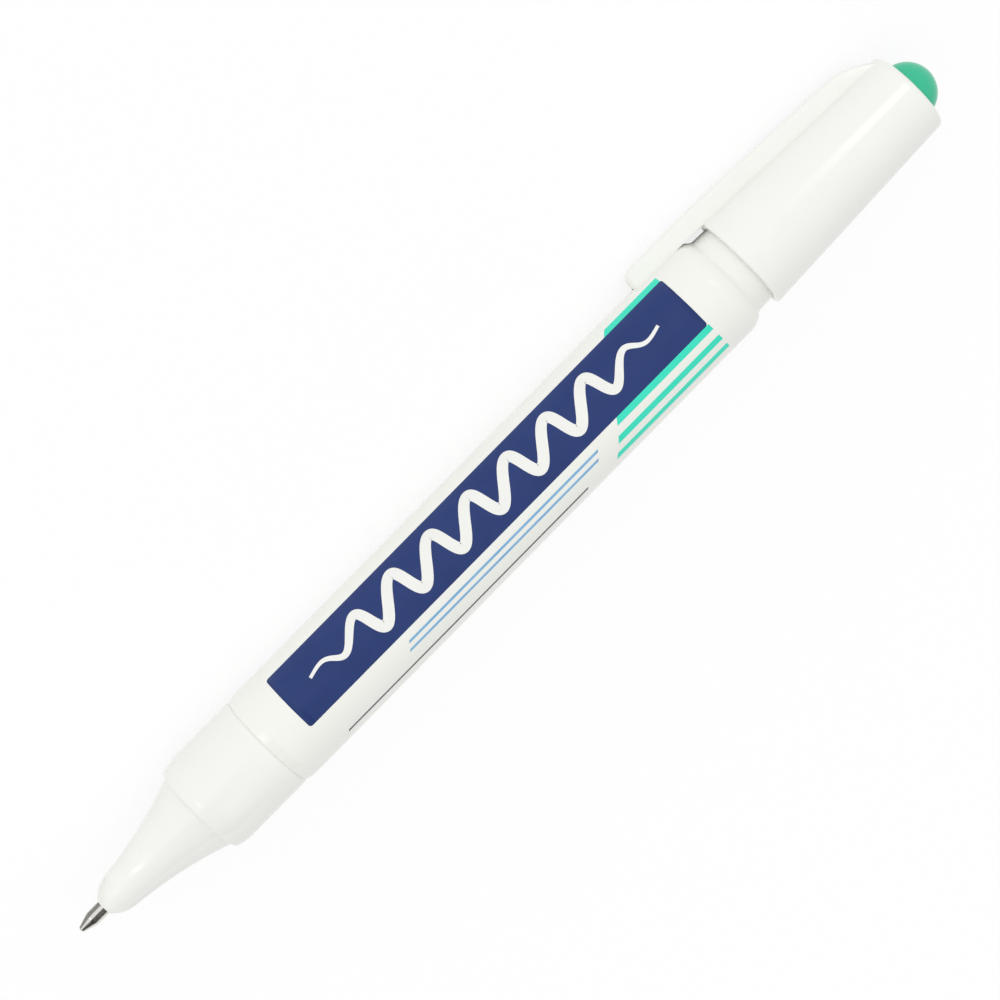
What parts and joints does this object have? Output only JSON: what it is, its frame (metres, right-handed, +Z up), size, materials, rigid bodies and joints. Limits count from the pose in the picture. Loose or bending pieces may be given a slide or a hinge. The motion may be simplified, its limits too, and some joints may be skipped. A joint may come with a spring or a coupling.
{
  "type": "correction pen",
  "caption": "White plastic correction pen with a metal rolling-ball tip, a stepped nose, a printed barrel and a cap with pocket clip pushed onto its tail.",
  "frame": {"origin": "on the pen's axis, at the rear end of the nose collar's round wall, beside the seam with the barrel", "axes": "+X along the pen towards the writing tip; +Z up as the pen lies on a table, on its barrel and on the edge of its clip, which is on the -Y side"},
  "size_m": [0.1486, 0.0155, 0.014],
  "materials": {
    "barrel_plastic": "white moulded polypropylene, glossy, printed",
    "nose_plastic": "white moulded polypropylene, glossy",
    "cap_plastic": "white moulded polypropylene, glossy",
    "seal_plastic": "natural polyethylene, satin",
    "seal_rubber": "soft elastomer, matte",
    "plug_plastic": "green moulded plastic, glossy",
    "tip_metal": "turned, bright",
    "ball_metal": "polished",
    "rod_metal": "drawn, bright",
    "spring_metal": "drawn spring wire"
  },
  "bodies": {
    "pen_body": {"barrel": "barrel_plastic", "nose_section": "nose_plastic", "writing_tip": "tip_metal", "spring_stop": "seal_plastic", "valve_spring": "spring_metal"},
    "push_valve": {"push_rod": "rod_metal", "tip_ball": "ball_metal"},
    "mixer": {"mixing_ball": "ball_metal"},
    "cap": {"cap_shell": "cap_plastic", "inner_cap": "seal_plastic", "tip_seal": "seal_rubber", "end_plug": "plug_plastic"},
    "clip": {"pocket_clip": "cap_plastic"}
  },
  "joints": [
    {"name": "tip_press", "type": "slide", "parent": "pen_body", "child": "push_valve", "axis": [-1, 0, 0], "range_m": [0, 0.00015], "stiffness_N_per_m": 400, "springref_m": -0.0005, "deforming": ["valve_spring"]},
    {"name": "mixing_ball_roll", "type": "slide", "parent": "pen_body", "child": "mixer", "axis": [1, 0, 0], "range_m": [-0.028, 0.034]},
    {"name": "cap_pull", "type": "slide", "parent": "pen_body", "child": "cap", "axis": [-1, 0, 0], "range_m": [0, 0.045]},
    {"name": "clip_flex", "type": "hinge", "parent": "cap", "child": "clip", "pos_m": [-0.11185, -0.00473, -0.00344], "axis": [0, 0.5881, -0.8088], "range_deg": [0, 3.5], "stiffness_Nm_per_rad": 0.26}
  ]
}
